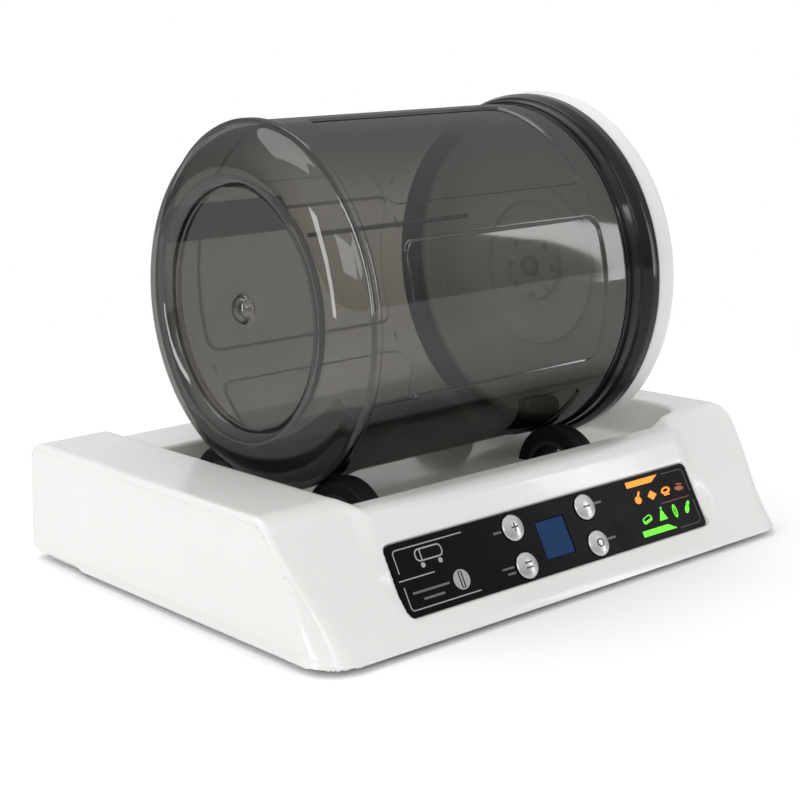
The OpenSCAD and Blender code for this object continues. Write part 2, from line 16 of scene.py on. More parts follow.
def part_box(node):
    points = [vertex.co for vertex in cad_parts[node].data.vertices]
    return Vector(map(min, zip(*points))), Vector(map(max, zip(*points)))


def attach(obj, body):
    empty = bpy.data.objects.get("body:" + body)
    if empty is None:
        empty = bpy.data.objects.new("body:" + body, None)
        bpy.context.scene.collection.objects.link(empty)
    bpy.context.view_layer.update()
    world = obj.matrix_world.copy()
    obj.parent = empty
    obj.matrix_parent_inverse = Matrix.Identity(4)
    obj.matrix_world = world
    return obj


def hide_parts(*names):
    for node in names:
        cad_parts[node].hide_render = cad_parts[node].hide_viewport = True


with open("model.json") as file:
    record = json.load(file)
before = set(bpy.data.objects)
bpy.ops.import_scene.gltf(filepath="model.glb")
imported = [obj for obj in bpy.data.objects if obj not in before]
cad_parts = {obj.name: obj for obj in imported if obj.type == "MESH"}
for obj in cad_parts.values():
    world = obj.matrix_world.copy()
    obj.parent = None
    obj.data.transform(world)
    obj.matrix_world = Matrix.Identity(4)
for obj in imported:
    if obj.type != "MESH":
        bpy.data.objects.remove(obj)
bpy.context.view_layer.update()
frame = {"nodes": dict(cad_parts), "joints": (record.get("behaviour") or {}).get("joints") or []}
NODES = frame["nodes"]
JOINTS = {j["name"]: j for j in frame["joints"]}
MM = 0.001


def box_mm(node):
    low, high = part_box(node)
    return np.array(low) / MM, np.array(high) / MM


# ---------------------------------------------------------------- places, from the frame
AXIS_Z = JOINTS["drum_spin"]["pos_m"][2] / MM
ROLLER_Y = JOINTS["rear_roller_spin"]["pos_m"][1] / MM
ROLLER_Z = JOINTS["rear_roller_spin"]["pos_m"][2] / MM
SHELL_NODES = ["left_block", "right_block", "front_rail", "rear_rail", "drum_tray"]
HOUSING_LOW = np.min([box_mm(n)[0] for n in SHELL_NODES], axis=0)
HOUSING_HIGH = np.max([box_mm(n)[1] for n in SHELL_NODES], axis=0)
DRUM_LOW = box_mm("drum_shell")[0]
PANEL_LOW, PANEL_HIGH = box_mm("control_panel")
BEAD_X = DRUM_LOW[0] + 19.5
DRUM_R = 93.5
WALL = 4.0  # of the visual skin: thicker than the CAD wall, so the mesh grid can hold it
HOUSING_TRIANGLES = 190000
HALF_L = HOUSING_HIGH[0]
HALF_W = HOUSING_HIGH[1]
FOOT_Z = HOUSING_LOW[2]
BLOCK_Z = HOUSING_HIGH[2]
RAIL_Z = 61.0
RAIL_HALF_L = 108.0
TRAY_Z = 42.0

# The panel's own axes: u along the base, v up the slope, n out of the panel
PANEL_N = -np.array(JOINTS["button_plus_press"]["axis"])
PANEL_U = np.array([1.0, 0.0, 0.0])
PANEL_V = np.cross(PANEL_N, PANEL_U)
PLATE_T = 2.0
PLATE_OUT = 0.3
PANEL_O = (PANEL_LOW + PANEL_HIGH) / 2 + PANEL_N * (PLATE_T / 2 - PLATE_OUT)
PANEL_W = PANEL_HIGH[0] - PANEL_LOW[0]
PANEL_H = 36.0
SLOPE = math.atan2(-PANEL_N[1], PANEL_N[2])


# ---------------------------------------------------------------- numbers and outlines
def smooth(t):
    """Smooth step from 0 to 1."""
    t = np.clip(t, 0.0, 1.0)
    return t * t * (3 - 2 * t)


def round_max(a, b, r, c=0.0):
    """Intersection of two distance fields with an edge of radius r; c is the cosine between their normals."""
    u, v = a + r, b + r
    corner = (u > c * v) & (v > c * u)
    reach = np.sqrt(np.maximum(u * u + v * v - 2 * c * u * v, 0) / (1 - c * c))
    return np.where(corner, reach, np.maximum(u, v)) - r


def fillet(points, radii, steps=6):
    """Outline through points, with its corners rounded to radii."""
    out = []
    n = len(points)
    for i, (p, r) in enumerate(zip(points, radii)):
        p = np.array(p, float)
        a = np.array(points[i - 1], float) - p
        b = np.array(points[(i + 1) % n], float) - p
        la, lb = np.linalg.norm(a), np.linalg.norm(b)
        if r <= 0:
            out.append(tuple(p))
            continue
        a, b = a / la, b / lb
        half = math.acos(max(-1, min(1, float(a @ b)))) / 2
        tangent = min(r / math.tan(half), 0.499 * la, 0.499 * lb)
        r = tangent * math.tan(half)
        centre = p + (a + b) / np.linalg.norm(a + b) * r / math.sin(half)
        start, end = p + a * tangent - centre, p + b * tangent - centre
        turn = math.pi - 2 * half
        side = 1 if start[0] * end[1] - start[1] * end[0] > 0 else -1
        for k in range(steps + 1):
            t = side * turn * k / steps
            out.append(
                (
                    centre[0] + start[0] * math.cos(t) - start[1] * math.sin(t),
                    centre[1] + start[0] * math.sin(t) + start[1] * math.cos(t),
                )
            )
    return out


def circle(cx, cy, r, n=32, ry=None, turn=0.0):
    """Round or oval outline, turned by an angle in degrees."""
    ry = r if ry is None else ry
    c, s = math.cos(math.radians(turn)), math.sin(math.radians(turn))
    out = []
    for k in range(n):
        t = 2 * math.pi * k / n
        x, y = r * math.cos(t), ry * math.sin(t)
        out.append((cx + x * c - y * s, cy + x * s + y * c))
    return out


def rounded_box(cx, cy, w, h, r, turn=0.0, steps=5):
    """Rectangle outline with rounded corners."""
    c, s = math.cos(math.radians(turn)), math.sin(math.radians(turn))
    square = [(-w / 2, -h / 2), (w / 2, -h / 2), (w / 2, h / 2), (-w / 2, h / 2)]
    return [(cx + x * c - y * s, cy + x * s + y * c) for x, y in fillet(square, [r] * 4, steps)]


# ---------------------------------------------------------------- meshes
def piece(name, verts, faces, material, body, slot, replaces=(), sharp=32.0):
    """A shown mesh, in millimetres, that rides on a body."""
    mesh = bpy.data.meshes.new(name)
    points = [tuple(v) for v in (np.asarray(verts, float) * MM)]
    mesh.from_pydata(points, [], [tuple(int(i) for i in f) for f in faces])
    mesh.validate()
    work = bmesh.new()
    work.from_mesh(mesh)
    bmesh.ops.recalc_face_normals(work, faces=work.faces)
    work.to_mesh(mesh)
    work.free()
    mesh.materials.append(material)
    mesh.shade_smooth()
    obj = bpy.data.objects.new(name, mesh)
    bpy.context.scene.collection.objects.link(obj)
    mesh.set_sharp_from_angle(angle=math.radians(sharp))
    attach(obj, body)
    if replaces:
        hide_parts(*replaces)
    return obj


def thin_out(obj, limit):
    """Collapses the flat parts of a dense mesh until it has at most limit triangles."""
    count = sum(len(p.vertices) - 2 for p in obj.data.polygons)
    modifier = obj.modifiers.new("thin", "DECIMATE")
    modifier.ratio = min(1.0, limit / count)
    bpy.context.view_layer.objects.active = obj
    bpy.ops.object.modifier_apply(modifier="thin")


def merge(parts):
    """Joins (verts, faces) pairs into one."""
    verts, faces, base = [], [], 0
    for v, f in parts:
        verts.extend(v)
        faces.extend(tuple(i + base for i in face) for face in f)
        base += len(v)
    return verts, faces


def turned(outline, segments=96, closed=True):
    """Surface of revolution of (x, r) points about the X axis; points on the axis become one vertex."""
    angles = [2 * math.pi * k / segments for k in range(segments)]
    verts, rows = [], []
    for x, r in outline:
        if r < 1e-6:
            rows.append([len(verts)] * segments)
            verts.append((x, 0.0, 0.0))
        else:
            rows.append(list(range(len(verts), len(verts) + segments)))
            verts.extend((x, r * math.cos(a), r * math.sin(a)) for a in angles)
    faces = []
    n = len(rows)
    for i in range(n if closed else n - 1):
        a, b = rows[i], rows[(i + 1) % n]
        for k in range(segments):
            m = (k + 1) % segments
            ring = []
            for v in (a[k], a[m], b[m], b[k]):
                if v not in ring:
                    ring.append(v)
            if len(ring) > 2:
                faces.append(tuple(ring))
    return verts, faces


def placed(part, origin=(0, 0, 0), turn=None):
    """Moves a (verts, faces) pair to a place, after an optional 3 by 3 turn."""
    verts = np.asarray(part[0], float)
    if turn is not None:
        verts = verts @ np.asarray(turn, float).T
    return [tuple(v) for v in verts + np.asarray(origin, float)], part[1]


def on_panel(part, u=0.0, v=0.0, n=0.0):
    """Places a part drawn in (u, v, n) on the panel."""
    axes = np.stack([PANEL_U, PANEL_V, PANEL_N], axis=1)
    return placed(part, PANEL_O + PANEL_U * u + PANEL_V * v + PANEL_N * n, axes)


def surface_net(field, low, high, step):
    """Closed quad mesh of the surface where field is zero, with each vertex moved onto it."""
    axes = [np.arange(a, b + step, step) for a, b in zip(low, high)]
    shape = tuple(len(a) for a in axes)
    grid = np.meshgrid(*axes, indexing="ij")
    value = field(*grid)
    inside = value < 0
    count = np.zeros(tuple(s - 1 for s in shape), np.int8)
    corners = [(i, j, k) for i in (0, 1) for j in (0, 1) for k in (0, 1)]

    def part(array, corner):
        return array[tuple(slice(c, s - 1 + c) for c, s in zip(corner, shape))]

    for c in corners:
        count += part(inside, c)
    active = (count > 0) & (count < 8)
    cells = np.argwhere(active)
    index = np.full(active.shape, -1, np.int64)
    index[active] = np.arange(len(cells))
    total = np.zeros((len(cells), 3))
    hits = np.zeros(len(cells))
    for a in corners:
        for axis in range(3):
            if a[axis]:
                continue
            b = tuple(1 if d == axis else a[d] for d in range(3))
            va, vb = part(value, a)[active], part(value, b)[active]
            cross = (va < 0) != (vb < 0)
            t = np.where(cross, va / np.where(va == vb, 1, va - vb), 0)
            point = cells + np.array(a, float)
            point[:, axis] += t
            total[cross] += point[cross]
            hits[cross] += 1
    verts = np.array(low) + total / hits[:, None] * step
    centre = np.array(low) + (cells + 0.5) * step
    small = 0.05
    for _ in range(4):
        f = field(*verts.T)
        g = np.stack([field(*(verts + small * np.eye(3)[d]).T) - f for d in range(3)], axis=1) / small
        verts -= np.clip(f / np.maximum((g * g).sum(axis=1), 0.2), -step, step)[:, None] * g
        verts = np.clip(verts, centre - 0.75 * step, centre + 0.75 * step)
    faces = []
    for axis in range(3):
        u, v = (axis + 1) % 3, (axis + 2) % 3
        cut = [slice(None)] * 3
        cut[axis] = slice(0, -1)
        nxt = list(cut)
        nxt[axis] = slice(1, None)
        change = inside[tuple(cut)] != inside[tuple(nxt)]
        for e in np.argwhere(change):
            if e[u] == 0 or e[v] == 0 or e[u] >= shape[u] - 1 or e[v] >= shape[v] - 1:
                continue
            quad = []
            for du, dv in ((-1, -1), (0, -1), (0, 0), (-1, 0)):
                c = e.copy()
                c[u] += du
                c[v] += dv
                quad.append(index[tuple(c)])
            faces.append(quad if inside[tuple(e)] else quad[::-1])
    return verts, faces


# ---------------------------------------------------------------- materials
def new_material(name):
    material = bpy.data.materials.new(name)
    material.use_nodes = True
    return material, material.node_tree, material.node_tree.nodes["Principled BSDF"]


def add(tree, kind, **values):
    node = tree.nodes.new(kind)
    for key, value in values.items():
        if key in node.inputs:
            node.inputs[key].default_value = value
        else:
            setattr(node, key, value)
    return node


def noise(tree, scale, detail=2.0, stretch=(1, 1, 1)):
    """Noise in object space; scale is in repeats per metre."""
    coords = add(tree, "ShaderNodeTexCoord")
    mapping = add(tree, "ShaderNodeMapping", Scale=stretch)
    texture = add(tree, "ShaderNodeTexNoise", Scale=scale, Detail=detail)
    tree.links.new(coords.outputs["Object"], mapping.inputs["Vector"])
    tree.links.new(mapping.outputs["Vector"], texture.inputs["Vector"])
    return texture


def vary(tree, source, low, high, socket):
    """Drives a number socket with a pattern, between low and high."""
    spread = add(tree, "ShaderNodeMapRange")
    spread.inputs["From Min"].default_value = 0.3
    spread.inputs["From Max"].default_value = 0.7
    spread.inputs["To Min"].default_value = low
    spread.inputs["To Max"].default_value = high
    tree.links.new(source, spread.inputs["Value"])
    tree.links.new(spread.outputs["Result"], socket)


def tint(tree, source, dark, light, socket):
    """Drives a colour socket with a pattern, between two colours."""
    ramp = add(tree, "ShaderNodeValToRGB")
    ramp.color_ramp.elements[0].position = 0.3
    ramp.color_ramp.elements[0].color = (*dark, 1)
    ramp.color_ramp.elements[1].position = 0.7
    ramp.color_ramp.elements[1].color = (*light, 1)
    tree.links.new(source, ramp.inputs["Fac"])
    tree.links.new(ramp.outputs["Color"], socket)


def bump(tree, source, height_m, shader, strength=1.0):
    node = add(tree, "ShaderNodeBump", Strength=strength, Distance=height_m)
    tree.links.new(source, node.inputs["Height"])
    tree.links.new(node.outputs["Normal"], shader.inputs["Normal"])
    return node


def plastic(
    name, dark, light, rough, coat=0.0, grain=1400.0, height=0.00002, metal=0.0, stretch=(1, 1, 1), shine=0.5
):
    """Moulded or metal surface: slight colour drift, uneven gloss and fine grain."""
    material, tree, shader = new_material(name)
    drift = noise(tree, 9.0, 3.0)
    gloss = noise(tree, 60.0, 4.0, stretch)
    fine = noise(tree, grain, 2.0, stretch)
    tint(tree, drift.outputs["Fac"], dark, light, shader.inputs["Base Color"])
    vary(tree, gloss.outputs["Fac"], rough[0], rough[1], shader.inputs["Roughness"])
    bump(tree, fine.outputs["Fac"], height, shader, 0.5)
    shader.inputs["Metallic"].default_value = metal
    shader.inputs["Specular IOR Level"].default_value = shine
    shader.inputs["Coat Weight"].default_value = coat
    shader.inputs["Coat Roughness"].default_value = 0.04
    return material


def lamp(name, colour, strength, shine=0.5):
    """Lit lens: the colour shines, a little unevenly, under a clear front."""
    material, tree, shader = new_material(name)
    drift = noise(tree, 500.0, 2.0)
    dim = tuple(c * 0.8 for c in colour)
    tint(tree, drift.outputs["Fac"], dim, colour, shader.inputs["Base Color"])
    vary(tree, drift.outputs["Fac"], 0.25, 0.4, shader.inputs["Roughness"])
    shader.inputs["Specular IOR Level"].default_value = shine
    shader.inputs["Emission Color"].default_value = (*colour, 1)
    shader.inputs["Emission Strength"].default_value = strength
    return material


def smoked(name, clear, edge_dark, haze_colour, haze_share, gloss=1.0, ramp_start=0.3):
    """Smoked clear plastic with a glossy face: light passes unbent, darker where it is seen edge-on."""
    material, tree, shader = new_material(name)
    output = tree.nodes["Material Output"]
    facing = add(tree, "ShaderNodeLayerWeight", Blend=0.5)
    streaks = noise(tree, 14.0, 3.0)
    ramp = add(tree, "ShaderNodeValToRGB")
    ramp.color_ramp.elements[0].position = ramp_start
    ramp.color_ramp.elements[0].color = (*clear, 1)
    ramp.color_ramp.elements[1].position = 1.0
    ramp.color_ramp.elements[1].color = (*edge_dark, 1)
    tree.links.new(facing.outputs["Facing"], ramp.inputs["Fac"])
    through = add(tree, "ShaderNodeBsdfTransparent")
    tree.links.new(ramp.outputs["Color"], through.inputs["Color"])
    darker = tuple(c * 0.85 for c in haze_colour)
    tint(tree, streaks.outputs["Fac"], darker, haze_colour, shader.inputs["Base Color"])
    vary(tree, streaks.outputs["Fac"], 0.03, 0.07, shader.inputs["Roughness"])
    shader.inputs["Specular IOR Level"].default_value = 0.0
    body = add(tree, "ShaderNodeMixShader")
    body.inputs[0].default_value = 1 - haze_share
    tree.links.new(shader.outputs[0], body.inputs[1])
    tree.links.new(through.outputs[0], body.inputs[2])
    # Schlick's mirror share: gloss at F0, rising to 1 edge-on, on faces that light enters by
    steep = add(tree, "ShaderNodeMath", operation="POWER")
    steep.inputs[1].default_value = 5.0
    tree.links.new(facing.outputs["Facing"], steep.inputs[0])
    share = add(tree, "ShaderNodeMapRange")
    share.inputs["To Min"].default_value = 0.045 * gloss
    share.inputs["To Max"].default_value = 0.3 * gloss
    tree.links.new(steep.outputs[0], share.inputs["Value"])
    geometry = add(tree, "ShaderNodeNewGeometry")
    entering = add(tree, "ShaderNodeMath", operation="SUBTRACT")
    entering.inputs[0].default_value = 1.0
    tree.links.new(geometry.outputs["Backfacing"], entering.inputs[1])
    mirror_share = add(tree, "ShaderNodeMath", operation="MULTIPLY")
    tree.links.new(share.outputs["Result"], mirror_share.inputs[0])
    tree.links.new(entering.outputs[0], mirror_share.inputs[1])
    mirror = add(tree, "ShaderNodeBsdfGlossy", Roughness=0.05)
    mirror.inputs["Color"].default_value = (1, 1, 1, 1)
    front = add(tree, "ShaderNodeMixShader")
    tree.links.new(mirror_share.outputs[0], front.inputs[0])
    tree.links.new(body.outputs[0], front.inputs[1])
    tree.links.new(mirror.outputs[0], front.inputs[2])
    tree.links.new(front.outputs[0], output.inputs["Surface"])
    return material


WHITE = plastic(
    "housing_white", (0.735, 0.725, 0.71), (0.765, 0.755, 0.74), (0.16, 0.24), coat=0.25, height=0.000008
)
COVER = plastic("cover_white", (0.66, 0.66, 0.64), (0.72, 0.72, 0.70), (0.42, 0.55), height=0.00003)
LID_WHITE = plastic(
    "lid_white", (0.72, 0.71, 0.70), (0.75, 0.745, 0.735), (0.15, 0.24), coat=0.25, height=0.000008
)
TYRE = plastic(
    "tyre_rubber", (0.004, 0.004, 0.004), (0.010, 0.010, 0.010), (0.5, 0.7),
    grain=2500, height=0.00006, shine=0.2,
)
FOOT = plastic("foot_rubber", (0.05, 0.05, 0.05), (0.08, 0.08, 0.08), (0.6, 0.8), grain=2500, height=0.00006)
HUB = plastic("hub_black", (0.012, 0.012, 0.012), (0.02, 0.02, 0.02), (0.35, 0.5))
COLLAR = plastic(
    "collar_black", (0.003, 0.003, 0.003), (0.006, 0.006, 0.006), (0.08, 0.14), height=0.000006, shine=0.3
)
PANEL = plastic(
    "panel_black", (0.002, 0.002, 0.0025), (0.004, 0.004, 0.005), (0.2, 0.3), height=0.000004, shine=0.06
)
SILVER = plastic(
    "button_silver", (0.50, 0.50, 0.51), (0.62, 0.62, 0.63), (0.22, 0.34), metal=1.0, height=0.00001
)
STEEL = plastic("steel", (0.42, 0.42, 0.43), (0.55, 0.55, 0.56), (0.25, 0.42), metal=1.0, stretch=(1, 8, 8))
MOTOR = plastic("motor_can", (0.40, 0.41, 0.42), (0.52, 0.53, 0.54), (0.3, 0.5), metal=1.0)
BRONZE = plastic(
    "bush_bronze", (0.30, 0.17, 0.07), (0.42, 0.25, 0.11), (0.45, 0.65), metal=1.0, height=0.00004
)
BRASS = plastic("coupling_brass", (0.50, 0.34, 0.12), (0.62, 0.44, 0.17), (0.25, 0.4), metal=1.0)
NYLON = plastic("nylon", (0.66, 0.65, 0.61), (0.74, 0.73, 0.69), (0.45, 0.6))
BLACK = plastic("socket_black", (0.010, 0.010, 0.010), (0.018, 0.018, 0.018), (0.4, 0.55))
BOARD = plastic("board_green", (0.01, 0.09, 0.035), (0.02, 0.14, 0.055), (0.3, 0.5), grain=900)
SILICONE = plastic("silicone", (0.40, 0.40, 0.39), (0.47, 0.47, 0.46), (0.5, 0.65))
VALVE = plastic("valve_grey", (0.52, 0.53, 0.52), (0.60, 0.61, 0.60), (0.35, 0.5))
PRINT = plastic("print_grey", (0.30, 0.30, 0.30), (0.38, 0.38, 0.38), (0.4, 0.55))
PRINT_DIM = plastic("print_dim", (0.09, 0.09, 0.09), (0.13, 0.13, 0.13), (0.4, 0.55))
MARK = plastic("button_mark", (0.05, 0.05, 0.055), (0.09, 0.09, 0.095), (0.35, 0.5))
LCD = lamp("lcd_blue", (0.004, 0.022, 0.068), 0.6, 0.08)
ORANGE = lamp("lamp_orange", (1.0, 0.24, 0.004), 0.85)
ORANGE_DIM = lamp("lamp_orange_dim", (0.30, 0.06, 0.004), 0.25)
GREEN = lamp("lamp_green", (0.10, 0.75, 0.008), 0.8)
RED_LINE = lamp("lamp_red_line", (0.20, 0.02, 0.01), 0.15)
SMOKED = smoked("smoked_clear", (0.60, 0.59, 0.56), (0.10, 0.10, 0.095), (0.04, 0.04, 0.038), 0.05, 1.3)
# Darker smoked tint used as painted shade: the dark bands that bent light makes at the drum's bead, end
# recess wall and window rims
SMOKED_PAINTED_DARK = smoked("smoked_painted_shade", (0.22, 0.22, 0.21), (0.03, 0.03, 0.028), (0.02, 0.02, 0.019), 0.2, 1.6)
PADDLE = smoked("smoked_paddle", (0.40, 0.40, 0.385), (0.05, 0.05, 0.048), (0.03, 0.03, 0.028), 0.25)


def repaint(material, *names):
    """Gives CAD nodes that keep their shape a better material."""
    for n in names:
        mesh = NODES[n].data
        mesh.materials.clear()
        mesh.materials.append(material)


# ---------------------------------------------------------------- base
BLOCK_FRONT_TOP_Y = -92.0
BLOCK_REAR_TOP_Y = HALF_W - 8
RAIL_FOOT_Y = PANEL_O[1] - (PANEL_O[2] - FOOT_Z) / math.tan(SLOPE)
BLOCK_SLOPE = math.atan2(BLOCK_Z - FOOT_Z, BLOCK_FRONT_TOP_Y + HALF_W)
REAR_SLOPE = math.atan2(BLOCK_Z - FOOT_Z, HALF_W - BLOCK_REAR_TOP_Y)
BAY_HALF_L = 112.0
BAY_LOW = 12.0
BAY_Z = 52.0
BAY_R = 22.0
BORDER_DEPTH = 1.4
TRAY_X = (-114.0, 140.6)
TRAY_Y = 83.5
TYRE_R = 28.0
LEFT_ROLLER_X = BEAD_X + 7.4
RIGHT_ROLLER_X = BEAD_X + 158.0
LCD_SIZE = 19.8
LCD_AT = (-1.8, -0.8)
BUTTONS = {
    "button_plus": (-27, 9.6),
    "button_mode": (-26.6, -10.2),
    "button_minus": (24, 9.6),
    "button_start": (24.3, -10.2),
}
BUTTON_R = 6.8


def plane(y, z, y0, z0, angle):
    """Distance in front of a plane through (y0, z0) that rises at an angle from the table."""
    return -(y - y0) * math.sin(angle) + (z - z0) * math.cos(angle)


def outline_distance(u, v, half_u, half_v, r):
    """Signed distance to a rounded rectangle."""
    qu, qv = np.abs(u) - half_u + r, np.abs(v) - half_v + r
    return np.minimum(np.maximum(qu, qv), 0) + np.hypot(np.maximum(qu, 0), np.maximum(qv, 0)) - r


def housing_outside(x, y, z):
    """Outer skin of the housing: blocks, rails between them, shoulders and tray."""
    # The panel's bay lies between the blocks: inside its outline the front follows the panel's slope
    bay = outline_distance(x, z - BAY_Z, BAY_HALF_L, BAY_Z - BAY_LOW, BAY_R)
    block = smooth(bay / 11 + 0.5)
    front_block = plane(y, z, -HALF_W, FOOT_Z, BLOCK_SLOPE)
    front_rail = plane(y, z, RAIL_FOOT_Y, FOOT_Z, SLOPE)
    front = front_rail * (1 - block) + front_block * block
    front_cos = math.cos(SLOPE) * (1 - block) + math.cos(BLOCK_SLOPE) * block
    high = smooth((np.abs(x) - RAIL_HALF_L + 3) / 13)
    top = z - (RAIL_Z + (BLOCK_Z - RAIL_Z) * high)
    rear = plane(-y, z, -HALF_W, FOOT_Z, REAR_SLOPE)
    side = round_max(front, top, 11 + 6 * block, front_cos)
    side = round_max(side, rear, 8, math.cos(REAR_SLOPE))
    # The foot edge is rounded at the rear only: towards the front its plane sinks out of reach
    bottom = FOOT_Z - z - 40 * smooth((90 - y) / 60)
    side = round_max(side, bottom, 9)
    # Each end face is sunk inside a raised border
    border = smooth((-side - 2.6) / 1.6) * smooth((z - FOOT_Z - 3.2) / 1.6)
    ends = np.abs(x) - HALF_L + BORDER_DEPTH * border
    corner = 2.6 + 15 * smooth((BLOCK_Z - 6 - z) / 50) * smooth(-y / 60) + 3 * smooth(y / 60)
    solid = round_max(side, ends, corner)
    middle, half = (TRAY_X[0] + TRAY_X[1]) / 2, (TRAY_X[1] - TRAY_X[0]) / 2
    draft = (z - TRAY_Z) * 0.03
    tray = outline_distance(x - middle, y, half + draft, TRAY_Y + draft, np.where(x < middle, 4.0, 28.0))
    tray = round_max(tray, TRAY_Z - z, 4)
    return round_max(solid, -tray, 2.6)


def housing_field(x, y, z):
    """The housing as a moulded shell with its openings."""
    outside = housing_outside(x, y, z)
    dy, dz = y - PANEL_O[1], z - PANEL_O[2]
    u, v, n = x - PANEL_O[0], dy * PANEL_V[1] + dz * PANEL_V[2], dy * PANEL_N[1] + dz * PANEL_N[2]
    seat = np.maximum(outline_distance(u, v, PANEL_W / 2 + 0.35, PANEL_H / 2 + 0.35, 3.3), -1.7 - n)
    outside = round_max(outside, -seat, 1.0)
    shell = np.maximum(outside, -(outside + WALL))
    shell = round_max(shell, FOOT_Z - z, 0.8)
    for side in (-1, 1):
        for rx in (LEFT_ROLLER_X, RIGHT_ROLLER_X):
            slot = np.maximum(np.abs(x - rx) - 7.5, np.abs(y - side * ROLLER_Y) - 27.5)
            slot = np.maximum(slot, np.abs(z - ROLLER_Z - 12) - 16)
            shell = np.maximum(shell, -slot)
    for bu, bv in BUTTONS.values():
        shell = np.maximum(shell, np.minimum(BUTTON_R + 0.6 - np.hypot(u - bu, v - bv), 9 - np.abs(n)))
    window = np.maximum(np.abs(u - LCD_AT[0]) - LCD_SIZE / 2 - 1, np.abs(v - LCD_AT[1]) - LCD_SIZE / 2 - 1)
    window = np.maximum(window, np.abs(n + 4) - 7)
    return np.maximum(shell, -window)


def plate(outlines, low, high, edge=0.0, steps=2):
    """Flat solid between two heights from an outline and its holes, with rounded edges."""
    curve = bpy.data.curves.new("outline", "CURVE")
    curve.dimensions = "2D"
    curve.fill_mode = "BOTH"
    curve.extrude = (high - low) / 2 - edge
    curve.bevel_depth = edge
    curve.bevel_resolution = steps
    curve.offset = -edge
    for points in outlines:
        line = curve.splines.new("POLY")
        line.points.add(len(points) - 1)
        for point, (x, y) in zip(line.points, points):
            point.co = (x, y, 0, 1)
        line.use_cyclic_u = True
    obj = bpy.data.objects.new("outline", curve)
    bpy.context.scene.collection.objects.link(obj)
    mesh = bpy.data.meshes.new_from_object(obj.evaluated_get(bpy.context.evaluated_depsgraph_get()))
    middle = (low + high) / 2
    verts = [(v.co.x, v.co.y, v.co.z + middle) for v in mesh.vertices]
    faces = [tuple(p.vertices) for p in mesh.polygons]
    bpy.data.objects.remove(obj)
    bpy.data.curves.remove(curve)
    bpy.data.meshes.remove(mesh)
    return verts, faces


def stroke(points, width):
    """Outline of a thin line through points."""
    p = np.array(points, float)
    step = np.diff(p, axis=0)
    step /= np.linalg.norm(step, axis=1, keepdims=True)
    along = np.vstack([step[:1], (step[:-1] + step[1:]) / 2, step[-1:]])
    along /= np.linalg.norm(along, axis=1, keepdims=True)
    side = np.stack([-along[:, 1], along[:, 0]], axis=1) * width / 2
    return [tuple(q) for q in np.vstack([p + side, (p - side)[::-1]])]


# ---------------------------------------------------------------- housing
HOUSING_STEP = 1.6
verts, faces = surface_net(
    housing_field, (-HALF_L - 3, -HALF_W - 3, FOOT_Z - 2), (HALF_L + 3, HALF_W + 3, BLOCK_Z + 3), HOUSING_STEP
)
housing = piece("housing_skin", verts, faces, WHITE, "base", "white_shell", SHELL_NODES, sharp=50)
thin_out(housing, HOUSING_TRIANGLES)


# ---------------------------------------------------------------- rollers
def tyre_outline(x):
    half, groove = 6.0, 0.8
    points = [
        (x - half, 20.0), (x + half, 20.0), (x + half, TYRE_R), (x + groove, TYRE_R),
        (x, TYRE_R - groove), (x - groove, TYRE_R), (x - half, TYRE_R),
    ]
    return fillet(points, [0, 0, 1.7, 0, 0, 0, 1.7], 5)


for name, side in (("front", -1), ("rear", 1)):
    place = (0, side * ROLLER_Y, ROLLER_Z)
    tyres = merge([placed(turned(tyre_outline(x), 96), place) for x in (LEFT_ROLLER_X, RIGHT_ROLLER_X)])
    body = "front_drive" if side < 0 else "rear_idler"
    piece(name + "_tyres", *tyres, TYRE, body, "tyre_rubber", [name + "_roller_tyres"], sharp=40)

# ---------------------------------------------------------------- control panel
holes = [circle(u, v, BUTTON_R + 0.3, 48) for u, v in BUTTONS.values()]
holes.append(rounded_box(*LCD_AT, LCD_SIZE, LCD_SIZE, 0.6))
rim = rounded_box(0, 0, PANEL_W, PANEL_H, 3, steps=8)
sheet = plate([rim] + holes, -PLATE_T + PLATE_OUT, PLATE_OUT, 0.35)
piece("panel_plate", *on_panel(sheet), PANEL, "base", "panel_black", ["control_panel"])

glass = plate([rounded_box(*LCD_AT, LCD_SIZE - 0.3, LCD_SIZE - 0.3, 0.5)], -5.1, -0.1, 0.25)
piece("screen_glass", *on_panel(glass), LCD, "base", "lcd_blue", ["lcd_display"])

PRINT_LOW, PRINT_HIGH = PLATE_OUT - 0.1, PLATE_OUT + 0.05
ORANGE_SIGNS = [
    [[(58, 12.6), (77, 12.6), (83, 15.8), (58, 15.8)]],
    [circle(63, 5.2, 2.4, 24, 2.1)], [circle(64.5, 8.2, 1.9, 16, 0.7, 50)],
    [[(70.6, 5.8), (74, 8.4), (77.6, 5.6), (73.6, 3.2)]],
    [circle(85, 6.2, 3.6, 28, 1.9, 8), circle(85, 6.4, 2.1, 20, 0.8, 8)],
    [rounded_box(85, 3.9, 4.6, 0.7, 0.3)],
]
ORANGE_DIM_SIGNS = [
    [circle(95.5, 5.4, 3.4, 28, 1.3, -6)], [rounded_box(96.4, 7.6, 4.4, 0.7, 0.3, -8)],
]
GREEN_SIGNS = [
    [[(57.5, -14.6), (83.5, -14.6), (77.5, -11.4), (57.5, -11.4)]],
    [rounded_box(64.3, -5.9, 7.4, 3.6, 1.6, 15), rounded_box(64.3, -5.4, 5.4, 1.6, 0.7, 15)],
    [[(72.8, -8.6), (79.2, -8.6), (76.8, -3.2), (75.6, -3.4)]], [circle(76.6, -2.2, 0.7, 12)],
    [circle(86.3, -5.8, 1.6, 28, 3.7), circle(86.3, -5.8, 0.9, 20, 2.7)],
    [rounded_box(86.3, -5.8, 0.4, 5.6, 0.15)],
    [circle(95.7, -6.6, 1.5, 24, 2.6, -35)], [circle(97.5, -3.9, 1.0, 20, 2.0, -50)],
]


